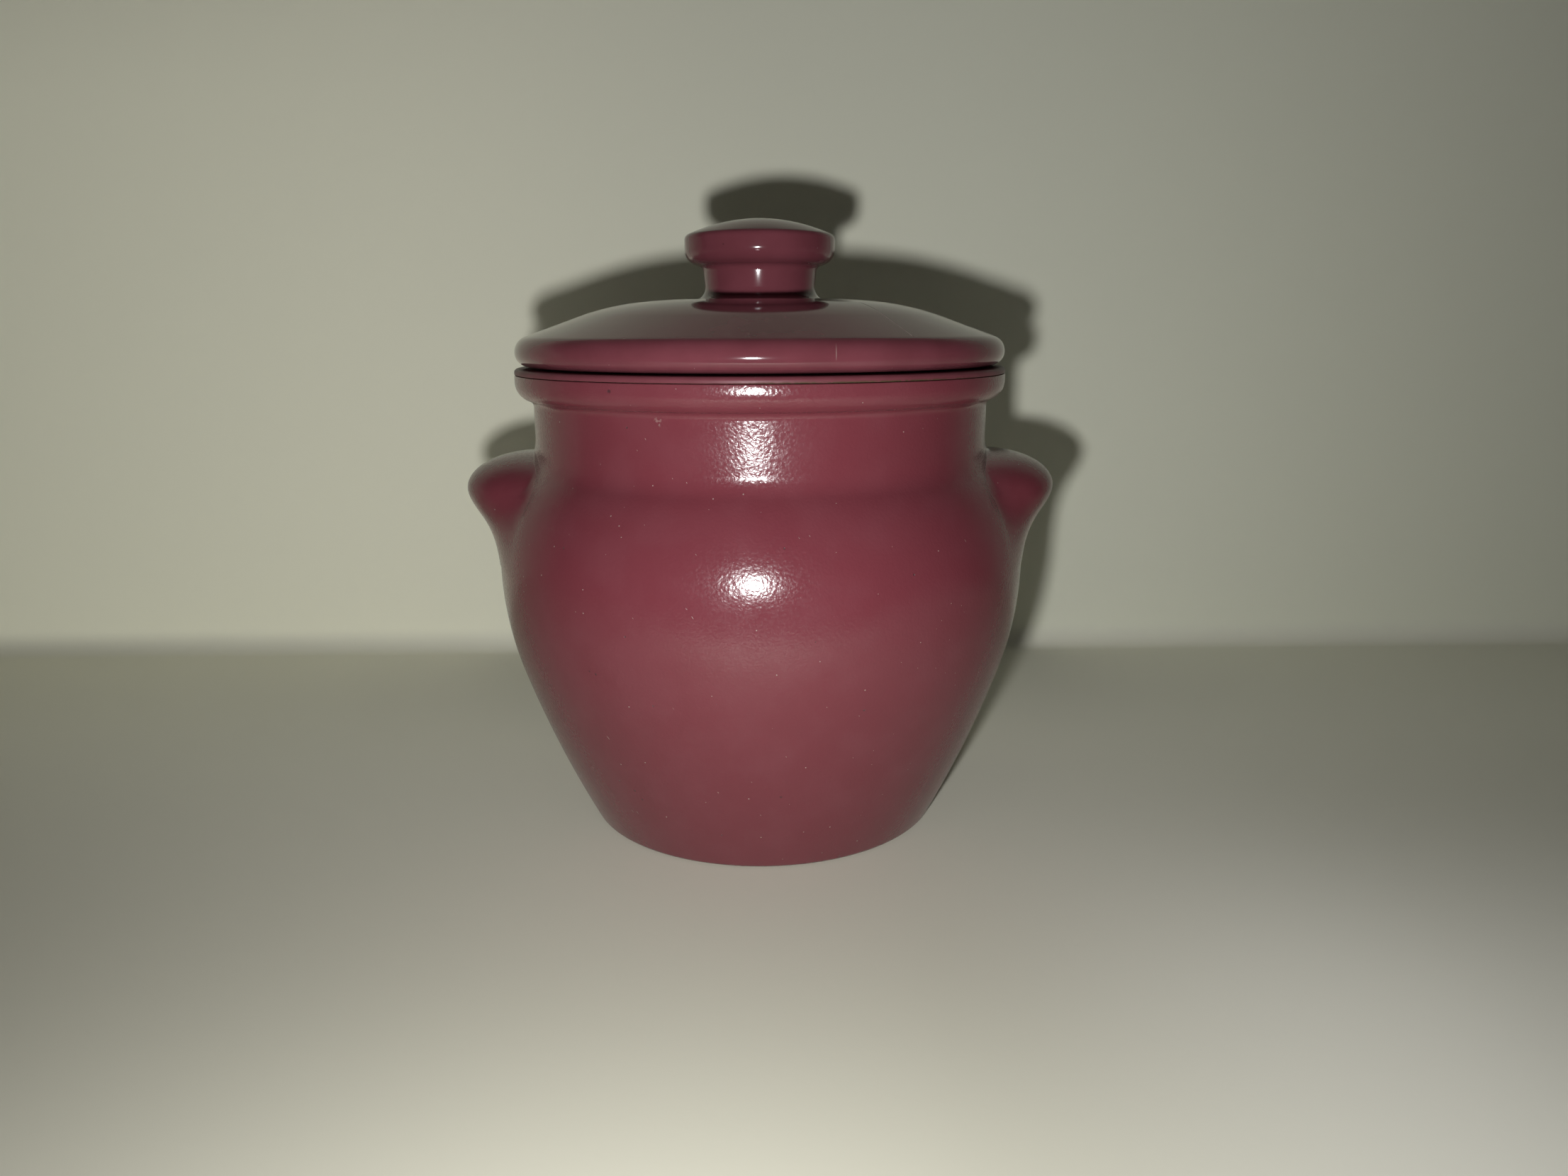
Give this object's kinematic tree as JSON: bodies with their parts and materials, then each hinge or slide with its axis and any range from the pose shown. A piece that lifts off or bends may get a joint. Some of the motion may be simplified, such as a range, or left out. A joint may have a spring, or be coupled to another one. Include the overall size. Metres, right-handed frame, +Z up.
{
  "type": "lidded pot",
  "caption": "Round-bellied table pot with two side lugs, a lift-out liner cup that hangs in its mouth, and a domed lid with a knob.",
  "frame": {"origin": "centre of the foot, on the plane the pot stands on", "axes": "+Z up along the pot's axis, +X out through one lug, +Y along the narrow direction between the lugs"},
  "size_m": [0.0984, 0.0876, 0.0994],
  "materials": {
    "pot_satin": "satin with a fine sparkling texture, dusky rose",
    "cup_gloss": "moulded gloss, dusky rose",
    "lid_gloss": "moulded gloss with light scratches, dusky rose"
  },
  "bodies": {
    "pot": {"pot_shell": "pot_satin"},
    "cup": {"inner_cup": "cup_gloss"},
    "lid": {"lid": "lid_gloss"}
  },
  "joints": [
    {"name": "cup_lift", "type": "slide", "parent": "pot", "child": "cup", "axis": [0, 0, 1], "range_m": [0, 0.085]},
    {"name": "lid_lift", "type": "slide", "parent": "cup", "child": "lid", "axis": [0, 0, 1], "range_m": [0, 0.05]}
  ]
}
